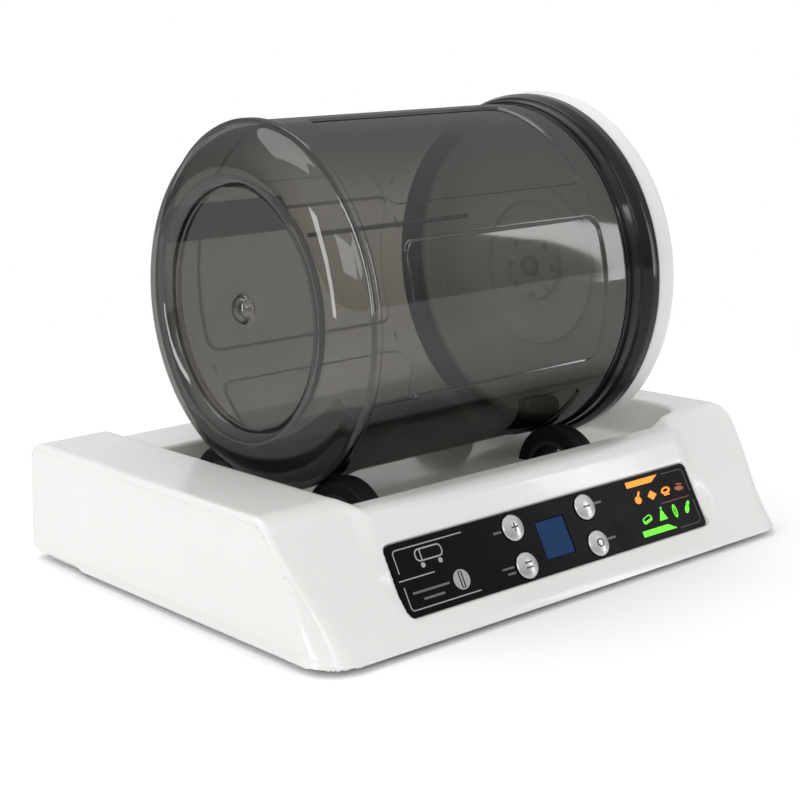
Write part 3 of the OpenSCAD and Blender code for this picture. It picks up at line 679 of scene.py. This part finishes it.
def printed(name, signs, material, slot, replaces=()):
    parts = [on_panel(plate(outlines, PRINT_LOW, PRINT_HIGH)) for outlines in signs]
    return piece(name, *merge(parts), material, "base", slot, replaces)


printed("orange_signs", ORANGE_SIGNS, ORANGE, "lamp_orange", ["orange_indicators"])
printed("orange_signs_off", ORANGE_DIM_SIGNS, ORANGE_DIM, "lamp_orange")
printed("green_signs", GREEN_SIGNS, GREEN, "lamp_green", ["green_indicators"])
printed("sign_divider", [[rounded_box(90, 0, 22, 0.45, 0.2)]], RED_LINE, "lamp_orange")

corner = [(-102.6 + 2 - 2 * math.cos(t), 14.6 - 2 + 2 * math.sin(t)) for t in np.linspace(0, math.pi / 2, 6)]
low_corner = [(u, -v - 0.2) for u, v in corner]
GREY_SIGNS = [
    [stroke([(-102.6, 3.4)] + corner + [(-59, 14.6)], 0.55)],
    [stroke([(-102.6, -3.2)] + low_corner + [(-59, -14.8)], 0.55)],
    [rounded_box(-93.3, 0, 22, 0.55, 0.2)],
    [circle(-68.3, -7.2, 5.0, 40), rounded_box(-68.3, -7.2, 2.6, 8.6, 0.8)],
    [rounded_box(-68.3, -7.2, 1.0, 8.0, 0.4)],
    # plain sign of a drum on two rollers, and bars where wording would be
    [rounded_box(-82, 9.6, 17, 6.4, 2.6), rounded_box(-82, 9.6, 15.6, 5.0, 2.0)],
    [rounded_box(-87, 9.6, 0.7, 5.2, 0.2)], [circle(-87.4, 4.6, 1.3, 20)], [circle(-76.6, 4.6, 1.3, 20)],
]
DIM_SIGNS = [
    [rounded_box(-87.5, -7.0, 23, 1.1, 0.4)], [rounded_box(-87.0, -10.8, 13, 1.1, 0.4)],
    [rounded_box(-37.4, 9.2, 5.4, 1.2, 0.4)], [rounded_box(-38.4, -9.0, 8.0, 1.1, 0.4)],
    [rounded_box(-37.2, -11.8, 5.4, 1.1, 0.4)], [rounded_box(34.2, 10.1, 5.4, 1.2, 0.4)],
    [rounded_box(35.0, -9.4, 5.8, 1.2, 0.4)],
    [stroke([(86, 15.2), (101, 15.2), (102.6, 13.6), (102.6, 2.5)], 0.3)],
    [stroke([(86, -15.2), (101, -15.2), (102.6, -13.6), (102.6, -2.5)], 0.3)],
]
printed("panel_lines", GREY_SIGNS, PRINT, "panel_black")
printed("panel_bars", DIM_SIGNS, PRINT_DIM, "panel_black")

DOME = 2.6
BALL_R = 18.0
MARKS = {
    "button_plus": [[rounded_box(0, 0, 4.6, 0.9, 0.3)], [rounded_box(0, 0, 0.9, 4.6, 0.3)]],
    "button_minus": [[rounded_box(0, 0, 4.6, 0.9, 0.3)]],
    "button_mode": [[rounded_box(0, 1.3, 4.6, 0.9, 0.3)], [rounded_box(0, -1.3, 4.6, 0.9, 0.3)]],
    "button_start": [[circle(0, 0, 2.4, 32), circle(0, 0, 1.5, 24)]],
}
for name, (u, v) in BUTTONS.items():
    dome = [(BALL_R * math.sin(t), DOME - BALL_R + BALL_R * math.cos(t)) for t in np.linspace(0, 0.352, 12)]
    rim_h = DOME - BALL_R + math.sqrt(BALL_R**2 - BUTTON_R**2)
    profile = dome + [(BUTTON_R - 0.25, rim_h + 0.05), (BUTTON_R, rim_h - 0.3), (BUTTON_R, -1.2)]
    profile += [(3.2, -1.2), (3.2, -7), (0, -7)]
    lathe = turned([(n, r) for r, n in profile], 64, closed=False)
    stand = np.array([[0, 1, 0], [0, 0, 1], [1, 0, 0]])
    cap = on_panel(placed(lathe, turn=stand), u, v)
    mark = merge([on_panel(plate(m, DOME - 0.5, DOME + 0.03), u, v) for m in MARKS[name]])
    piece(name + "_cap", *cap, SILVER, name, "button_silver", [name])
    piece(name + "_mark", *mark, MARK, name, "button_silver")


# ---------------------------------------------------------------- drum
ORIGIN = (0, 0, AXIS_Z)
WINDOW_X = (BEAD_X + 21, BEAD_X + 153)
WINDOW_HALF = 24.0
WINDOW_PHASE = -1.0
WINDOW_DEPTH = 1.3
WINDOW_EDGE = 1.4
WINDOW_RIM = 0.75
WINDOW_CORNER_R = 7.0
MOUTH_X = BEAD_X + 186
NECK_X = BEAD_X + 169
END_X = BEAD_X + 2.5
END_R = 71.5
END_ROUND = 22.0
DRUM_WALL = 2.5


def arc(cx, cy, r, a0, a1, n):
    return [(cx + r * math.cos(t), cy + r * math.sin(t)) for t in np.radians(np.linspace(a0, a1, n))]


def window_distance(x, tangent):
    """Signed distance to a window's outline, along the drum and around it."""
    half_t = DRUM_R * math.sin(math.radians(WINDOW_HALF))
    middle, half = sum(WINDOW_X) / 2, (WINDOW_X[1] - WINDOW_X[0]) / 2
    return outline_distance(x - middle, tangent, half, half_t, WINDOW_CORNER_R)


def drum_skin():
    """The drum's wall, both faces, with six windows pressed in, and which of its faces get painted shade:
    darker bands at the bead, the end recess wall and the window rims.
    """
    dense = np.concatenate([np.arange(0, 2.6, 0.36), np.arange(2.9, 11, 0.9)])
    spots = [NECK_X - 2.2]
    spots += list(WINDOW_X[1] + 1.3 - dense) + list(np.linspace(WINDOW_X[1] - 16, WINDOW_X[0] + 16, 10))
    spots += list((WINDOW_X[0] - 1.3 + dense)[::-1])
    outer = [(MOUTH_X - 0.6, 91.0), (MOUTH_X, 91.5), (MOUTH_X - 0.4, 92.0), (NECK_X + 0.2, 92.0)]
    outer += [(NECK_X, 92.3), (NECK_X - 0.2, 93.2), (NECK_X - 0.8, DRUM_R)] + [(x, DRUM_R) for x in spots]
    outer += [(BEAD_X + 0.5, DRUM_R), (BEAD_X, 93.9), (BEAD_X - 0.3, 94.6), (BEAD_X - 1.2, 95.0)]
    outer += [(BEAD_X - 3.8, 95.0), (BEAD_X - 4.7, 94.6), (BEAD_X - 5.0, 93.9)]
    end = arc(END_X, END_R, END_ROUND, 90 + 24, 180, 16)
    outer += [(BEAD_X - 5.4, end[0][1] + 0.9)] + end
    outer += [(END_X - END_ROUND, 68.6), (BEAD_X - 19.4, 66.8), (BEAD_X - 19.0, 66.0), (BEAD_X - 16.6, 62.8)]
    outer += [(BEAD_X - 15.8, 62.2), (BEAD_X - 13.6, 62.1), (BEAD_X - 12.9, 61.4), (BEAD_X - 12.8, 60.4)]
    outer += [(BEAD_X - 12.8, r) for r in (52, 42, 32, 22, 14, 9)]
    outer += [(BEAD_X - 12.9, 8.2), (BEAD_X - 13.3, 7.4), (BEAD_X - 14.2, 6.9), (BEAD_X - 15.6, 6.4)]
    outer += [(BEAD_X - 16.6, 5.4), (BEAD_X - 17.4, 3.8), (BEAD_X - 17.9, 1.9), (BEAD_X - 18.0, 0.0)]
    inner = [(BEAD_X - 15.6, 0.0), (BEAD_X - 15.2, 2.4), (BEAD_X - 13.6, 4.0), (BEAD_X - 10.9, 5.4)]
    inner += [(BEAD_X - 10.3, r) for r in (7, 20, 35, 50, 60)]
    inner += [(BEAD_X - 10.4, 63.6), (BEAD_X - 11.0, 64.6), (BEAD_X - 12.4, 65.2), (BEAD_X - 16.0, 66.4)]
    inner += [(BEAD_X - 16.9, 68.6)]
    inner += arc(END_X, END_R, END_ROUND - DRUM_WALL, 180, 90, 18)
    inner += [(x, 91.0) for x in np.linspace(BEAD_X + 10, MOUTH_X - 8, 12)]
    outline = outer + inner
    around = []
    for k in range(6):
        edge = WINDOW_HALF + 0.8 - np.concatenate([np.arange(0, 1.6, 0.25), np.arange(1.8, 6.2, 0.55)])
        flat = np.linspace(0, WINDOW_HALF - 7.5, 6)
        local = sorted(set(np.round(np.concatenate([edge, -edge, flat, -flat, [28.2, -28.2]]), 4)))
        around += [WINDOW_PHASE + 60 * k + a for a in local]
    theta = np.radians(around)
    nearest = np.radians((np.array(around) - WINDOW_PHASE + 30) % 60 - 30)
    tangent = DRUM_R * np.sin(nearest)
    between = (tangent + np.roll(tangent, -1)) / 2
    verts, rows = [], []
    first_inner = len(outer)
    for i, (x, r) in enumerate(outline):
        if r < 1e-6:
            rows.append([len(verts)] * len(theta))
            verts.append((x, 0.0, 0.0))
            continue
        radius = np.full(len(theta), r)
        if i < first_inner and abs(r - DRUM_R) < 1e-6:
            radius = radius - WINDOW_DEPTH * smooth(0.5 - window_distance(x, tangent) / WINDOW_EDGE)
        rows.append(list(range(len(verts), len(verts) + len(theta))))
        verts.extend(zip(np.full(len(theta), x), -radius * np.cos(theta), radius * np.sin(theta)))
    faces, painted_shade_faces = [], []
    count = len(theta)
    for i in range(len(rows)):
        x0, r0 = outline[i]
        x1, r1 = outline[(i + 1) % len(rows)]
        is_outer = i < first_inner
        # Faces of the bead, the end recess wall and the window rims are marked for painted shade, a darker
        # smoked tint
        on_bead = min(x0, x1) > BEAD_X - 6 and max(x0, x1) < BEAD_X + 0.6 and abs(r1 - r0) > 0.3
        in_recess = max(x0, x1) < BEAD_X - 12 and 61 < min(r0, r1) and max(r0, r1) < 68.7
        is_skin = abs(r0 - DRUM_R) < 1e-6 and abs(r1 - DRUM_R) < 1e-6
        rim = np.abs(window_distance((x0 + x1) / 2, between)) < WINDOW_RIM
        a, b = rows[i], rows[(i + 1) % len(rows)]
        if a[0] == a[1] and b[0] == b[1]:
            continue
        for k in range(count):
            m = (k + 1) % count
            ring = []
            for v in (a[k], b[k], b[m], a[m]):
                if v not in ring:
                    ring.append(v)
            faces.append(tuple(ring))
            painted_shade_faces.append(is_outer and (on_bead or in_recess or (is_skin and rim[k])))
    return verts, faces, painted_shade_faces


drum_verts, drum_faces, drum_painted_shade = drum_skin()
drum_mesh = placed((drum_verts, drum_faces), ORIGIN)
drum = piece("drum_wall", *drum_mesh, SMOKED, "drum", "smoked_clear", ["drum_shell"], sharp=38)
# Painted shade: the marked faces of the bead, recess wall and window rims take the darker smoked material
drum.data.materials.append(SMOKED_PAINTED_DARK)
drum.data.polygons.foreach_set("material_index", [int(t) for t in drum_painted_shade])

PADDLE_X1 = BEAD_X + 69
PADDLE_ROOT = 91.0
PADDLE_LEAN = math.radians(21)
paddle_line = [(PADDLE_X1, 69), (PADDLE_X1, 90.9), (END_X, 90.9)]
paddle_line += [(END_X - 19.4 * math.sin(t), END_R + 19.4 * math.cos(t)) for t in np.linspace(0.1, 1.12, 10)]
paddle_line += [(BEAD_X - 15, 69)]
radii = [8] + [0] * (len(paddle_line) - 2) + [2]
paddle_flat = plate([fillet(paddle_line, radii, 8)], -1.1, 1.1, 0.6, 3)
paddles = []
for k in range(3):
    a = math.radians(WINDOW_PHASE + 30 + 120 * k)
    root = np.array([0, -math.cos(a), math.sin(a)]) * PADDLE_ROOT
    out_dir = np.array([0, -math.cos(a - PADDLE_LEAN), math.sin(a - PADDLE_LEAN)])
    axes = np.stack([[1, 0, 0], out_dir, np.cross([1, 0, 0], out_dir)], axis=1)
    paddles.append(placed(paddle_flat, np.array(ORIGIN) + root - out_dir * PADDLE_ROOT, axes))
piece("paddles", *merge(paddles), PADDLE, "drum", "smoked_paddle", ["drum_paddles"])

# ---------------------------------------------------------------- collar and lid
COLLAR_X = BEAD_X + 169
collar_line = [
    (COLLAR_X + 0.3, 92.05), (COLLAR_X + 21, 92.05), (COLLAR_X + 21, 98.2), (COLLAR_X + 14.6, 98.2),
    (COLLAR_X + 9.2, 96.4), (COLLAR_X + 8.8, 95.05), (COLLAR_X + 3, 95.05), (COLLAR_X + 2.8, 93.25),
    (COLLAR_X + 0.3, 93.25),
]
collar = turned(fillet(collar_line, [0.3, 0.4, 1.8, 4, 1.2, 0.6, 1.0, 0.4, 0.5], 6), 192)
collar = placed(collar, ORIGIN)
piece("collar_ring", *collar, COLLAR, "drum_carrier", "collar_black", ["mouth_collar"], sharp=40)

LID_X = BEAD_X + 193
lid_line = [
    # distance from the lid's inner face, radius, rounding
    (0, 14.1, 0.2), (0, 38, 0.8), (-2.6, 38, 0.8), (-2.6, 46, 0.8), (0, 46, 0.8), (0, 84, 1.5),
    (-11.5, 84, 0.8), (-11.5, 87.4, 0.8), (-2.7, 87.4, 0.6), (-2.7, 97, 1.2), (5.8, 99.3, 3.2),
    (11.3, 95, 4.5), (13.3, 84, 1.6), (2.6, 84, 1.2), (2.6, 78, 1.2), (8, 78, 1.2), (8, 72, 1.2),
    (2.6, 72, 1.5), (2.6, 21, 1.5), (9, 21, 1.2), (9, 14.1, 0.6),
]
lid = turned(fillet([(LID_X + x, r) for x, r, _ in lid_line], [c for *_, c in lid_line], 5), 192)
piece("lid_cap", *placed(lid, ORIGIN), LID_WHITE, "lid", "lid_white", ["lid"], sharp=40)

gasket_line = [(MOUTH_X - 3.2, 87.4), (MOUTH_X - 0.6, 87.4), (MOUTH_X - 0.6, 90.7), (MOUTH_X - 3.2, 90.7)]
gasket = turned(fillet(gasket_line, [0.2, 0.2, 1.0, 1.0], 6), 144)
piece("gasket_ring", *placed(gasket, ORIGIN), SILICONE, "lid", "gasket_silicone", ["lid_gasket"], sharp=40)

VALVE_X = LID_X - 4
valve_line = [
    (VALVE_X, 2.3), (VALVE_X, 19.8), (VALVE_X + 4, 21), (VALVE_X + 4, 13),
    (VALVE_X + 14, 13), (VALVE_X + 14, 9.3), (VALVE_X + 5, 9.3), (VALVE_X + 5, 2.3),
]
valve_body = turned(fillet(valve_line, [0.4, 0.8, 0.1, 0.1, 0.8, 0.6, 0.3, 0.2], 4), 96)
piece("valve_body", *placed(valve_body, ORIGIN), NYLON, "lid", "hub_plastic", ["valve_housing"], sharp=40)

BUTTON_X = VALVE_X + 8.2
head = [(BUTTON_X + 7, 0), (BUTTON_X + 6.9, 4), (BUTTON_X + 6.6, 7.2), (BUTTON_X + 5.6, 8.7)]
head += [(BUTTON_X + 4.4, 9.0), (BUTTON_X, 9.0), (BUTTON_X, 2.2), (LID_X - 6.1, 2.2), (LID_X - 6.1, 0)]
head = placed(turned(head, 72, closed=False), ORIGIN)
piece("valve_head", *head, VALVE, "valve", "valve_grey", ["valve_button"])

# ---------------------------------------------------------------- CAD pieces that keep their shape
repaint(COVER, "bottom_cover")
repaint(FOOT, "rubber_feet")
repaint(STEEL, "cover_screws", "motor_screws", "board_screws", "hub_screws")
repaint(STEEL, "motor_shaft", "front_shaft", "rear_shaft", "motor_bracket")
repaint(NYLON, "bearing_blocks")
repaint(BRONZE, "bearing_bushes")
repaint(MOTOR, "gear_motor")
repaint(BRASS, "shaft_coupling")
repaint(BLACK, "dc_socket", "key_switches")
repaint(BOARD, "control_board")
repaint(HUB, "front_roller_hubs", "rear_roller_hubs")
repaint(SILICONE, "valve_seal")

# ---------------------------------------------------------------- camera, floor and light
bpy.ops.mesh.primitive_plane_add(size=14, location=(0, 0, 0))
floor = bpy.context.object
floor.name = "floor"
floor_mat, tree, shader = new_material("floor_white")
floor_drift = noise(tree, 3.0, 2.0)
tint(tree, floor_drift.outputs["Fac"], (0.94, 0.94, 0.94), (0.96, 0.96, 0.96), shader.inputs["Base Color"])
shader.inputs["Roughness"].default_value = 0.6
shader.inputs["Specular IOR Level"].default_value = 0.1
# Past the object the sweep fades to pure white
coords = add(tree, "ShaderNodeTexCoord")
reach = add(tree, "ShaderNodeVectorMath", operation="LENGTH")
tree.links.new(coords.outputs["Object"], reach.inputs[0])
fade = add(tree, "ShaderNodeMapRange", interpolation_type="SMOOTHSTEP")
fade.inputs["From Min"].default_value = 0.3
fade.inputs["From Max"].default_value = 0.9
tree.links.new(reach.outputs["Value"], fade.inputs["Value"])
white = add(tree, "ShaderNodeEmission")
white.inputs["Color"].default_value = (1, 1, 1, 1)
blend = add(tree, "ShaderNodeMixShader")
tree.links.new(fade.outputs["Result"], blend.inputs[0])
tree.links.new(shader.outputs[0], blend.inputs[1])
tree.links.new(white.outputs[0], blend.inputs[2])
tree.links.new(blend.outputs[0], tree.nodes["Material Output"].inputs["Surface"])
floor.data.materials.append(floor_mat)

scene = bpy.context.scene
scene.view_settings.view_transform = "Standard"
scene.cycles.transparent_max_bounces = 24
world = bpy.data.worlds.new("studio")
scene.world = world
world.use_nodes = True
sky = world.node_tree
sky_out = sky.nodes["World Output"]
soft = sky.nodes["Background"]
# A white sweep behind the object; the room that lights it is bright overhead and dimmer near the table
backdrop = add(sky, "ShaderNodeBackground", Strength=1.0)
backdrop.inputs["Color"].default_value = (1, 1, 1, 1)
direction = add(sky, "ShaderNodeTexCoord")
split = add(sky, "ShaderNodeSeparateXYZ")
sky.links.new(direction.outputs["Generated"], split.inputs[0])
ramp = add(sky, "ShaderNodeValToRGB")
ramp.color_ramp.elements[0].position = 0.0
ramp.color_ramp.elements[0].color = (0.42, 0.42, 0.42, 1)
ramp.color_ramp.elements[1].position = 0.75
ramp.color_ramp.elements[1].color = (0.95, 0.95, 0.95, 1)
sky.links.new(split.outputs["Z"], ramp.inputs["Fac"])
sky.links.new(ramp.outputs["Color"], soft.inputs["Color"])
path = add(sky, "ShaderNodeLightPath")
choose = add(sky, "ShaderNodeMixShader")
sky.links.new(path.outputs["Is Camera Ray"], choose.inputs[0])
sky.links.new(soft.outputs[0], choose.inputs[1])
sky.links.new(backdrop.outputs[0], choose.inputs[2])
sky.links.new(choose.outputs[0], sky_out.inputs["Surface"])


def area_light(name, place, target, size, power):
    data = bpy.data.lights.new(name, "AREA")
    data.shape = "RECTANGLE"
    data.size, data.size_y = size
    data.energy = power
    obj = bpy.data.objects.new(name, data)
    obj.location = place
    aim = Vector(target) - Vector(place)
    obj.rotation_euler = aim.to_track_quat("-Z", "Y").to_euler()
    bpy.context.scene.collection.objects.link(obj)
    return obj


area_light("overhead", (-0.2, 0.5, 1.5), (0, 0, 0.1), (1.2, 0.9), 7)
area_light("front_left", (-1.0, -1.2, 0.9), (0, 0, 0.1), (0.9, 0.6), 3.4)
area_light("left_strip", (-1.3, -0.02, 0.42), (-0.1, 0, 0.15), (0.2, 0.95), 3.4)
area_light("right_strip", (1.1, -1.0, 0.4), (0, 0, 0.15), (0.12, 1.0), 2.0)

CAMERA_PLACE = (-0.5683, -0.6833, 0.2712)
CAMERA_ANGLES = (-39.63, 12.01, -2.095)  # azimuth, elevation and roll, in degrees
CAMERA_LENS = 74.3
camera_data = bpy.data.cameras.new("camera")
camera = bpy.data.objects.new("camera", camera_data)
camera_data.sensor_width = 36
camera_data.lens = CAMERA_LENS
azimuth, elevation, roll = (math.radians(a) for a in CAMERA_ANGLES)
across = math.cos(elevation)
back = Vector((math.sin(azimuth) * across, -math.cos(azimuth) * across, math.sin(elevation)))
right = Vector((0, 0, 1)).cross(back).normalized()
up = back.cross(right)
right_r = right * math.cos(roll) + up * math.sin(roll)
up_r = up * math.cos(roll) - right * math.sin(roll)
turn = Matrix((right_r, up_r, back)).transposed().to_4x4()
camera.matrix_world = Matrix.Translation(CAMERA_PLACE) @ turn
bpy.context.scene.collection.objects.link(camera)
bpy.context.scene.camera = camera
